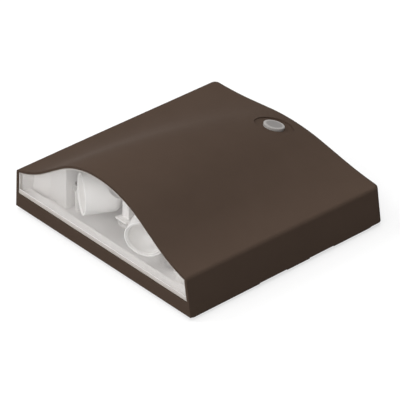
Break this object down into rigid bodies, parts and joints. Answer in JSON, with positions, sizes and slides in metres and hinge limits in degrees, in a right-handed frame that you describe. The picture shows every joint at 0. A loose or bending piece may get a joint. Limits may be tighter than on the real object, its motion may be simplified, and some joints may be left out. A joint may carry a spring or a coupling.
{
  "type": "wall pack light",
  "caption": "Emergency wall pack light: dark bell-shaped cast housing with a clear front window over two swivelling white lamp heads, push-to-test button and back plate with cable entry.",
  "frame": {"origin": "middle of the cable entry at the wall face of the back plate", "axes": "+Z away from the wall, -Y towards the window (down in use), X across the width; right is +X"},
  "size_m": [0.23, 0.2294, 0.0947],
  "materials": {
    "bronze_paint": "fine-textured dark bronze powder coat, satin",
    "plate_paint": "dark bronze powder coat, satin",
    "clear_pane": "clear moulded pane, gloss",
    "black_rubber": "matt black silicone rubber",
    "white_tray": "white moulded plastic, semi-gloss",
    "white_head": "white moulded plastic, semi-gloss",
    "bright_bowl": "vacuum-metallised reflector, mirror bright",
    "led_board": "white solder-masked board with a yellow emitter",
    "zinc_steel": "zinc-plated steel",
    "gear_steel": "white-painted sheet steel",
    "button_plastic": "translucent grey plastic",
    "black_plastic": "matt black plastic",
    "spring_steel": "bright spring wire",
    "indicator_red": "red lamp body, gloss",
    "cell_sleeve": "shrink sleeve, plain green",
    "green_board": "green solder mask",
    "core_steel": "laminated core with a taped winding",
    "capacitor_can": "sleeved aluminium can",
    "terminal_green": "green terminal plastic",
    "aluminium": "plain aluminium"
  },
  "bodies": {
    "fixture": {"housing": "bronze_paint", "back_plate": "plate_paint", "wire_grommet": "black_rubber", "rim_gasket": "black_rubber", "cover_screws": "zinc_steel", "front_lens": "clear_pane", "lens_gasket": "black_rubber", "reflector_tray": "white_tray", "lead_grommet": "black_rubber", "tray_screws": "zinc_steel", "lamp_deck": "white_tray", "deck_screws": "zinc_steel", "gear_tray": "gear_steel", "gear_screws": "zinc_steel", "control_board": "green_board", "board_standoffs": "aluminium", "board_screws": "zinc_steel", "transformer": "core_steel", "capacitors": "capacitor_can", "terminal_block": "terminal_green", "heat_sink": "aluminium", "battery_cells": "cell_sleeve", "battery_strap": "gear_steel", "strap_screws": "zinc_steel", "switch_body": "black_plastic", "switch_screws": "zinc_steel", "indicator_led": "indicator_red", "button_spring": "spring_steel"},
    "left_swivel": {"left_swivel_post": "white_head", "left_post_nut": "zinc_steel", "left_tilt_screw": "zinc_steel"},
    "left_lamp": {"left_lamp_head": "white_head", "left_reflector": "bright_bowl", "left_led_board": "led_board", "left_lock_screw": "zinc_steel"},
    "right_swivel": {"right_swivel_post": "white_head", "right_post_nut": "zinc_steel", "right_tilt_screw": "zinc_steel"},
    "right_lamp": {"right_lamp_head": "white_head", "right_reflector": "bright_bowl", "right_led_board": "led_board", "right_lock_screw": "zinc_steel"},
    "push_button": {"test_button": "button_plastic"}
  },
  "joints": [
    {"name": "left_pan", "type": "hinge", "parent": "fixture", "child": "left_swivel", "pos_m": [-0.0213, -0.066, 0.047], "axis": [0, 0, -1], "range_deg": [-15, 10]},
    {"name": "left_tilt", "type": "hinge", "parent": "left_swivel", "child": "left_lamp", "pos_m": [-0.0213, -0.066, 0.047], "axis": [-0.866, 0.5, 0], "range_deg": [-8, 10]},
    {"name": "right_pan", "type": "hinge", "parent": "fixture", "child": "right_swivel", "pos_m": [0.0213, -0.066, 0.047], "axis": [0, 0, 1], "range_deg": [-15, 10]},
    {"name": "right_tilt", "type": "hinge", "parent": "right_swivel", "child": "right_lamp", "pos_m": [0.0213, -0.066, 0.047], "axis": [-0.866, -0.5, 0], "range_deg": [-8, 10]},
    {"name": "button_press", "type": "slide", "parent": "fixture", "child": "push_button", "axis": [0, -0.314, -0.9494], "range_m": [0, 0.0015], "stiffness_N_per_m": 1500, "springref_m": -0.001, "deforming": ["button_spring"]}
  ]
}
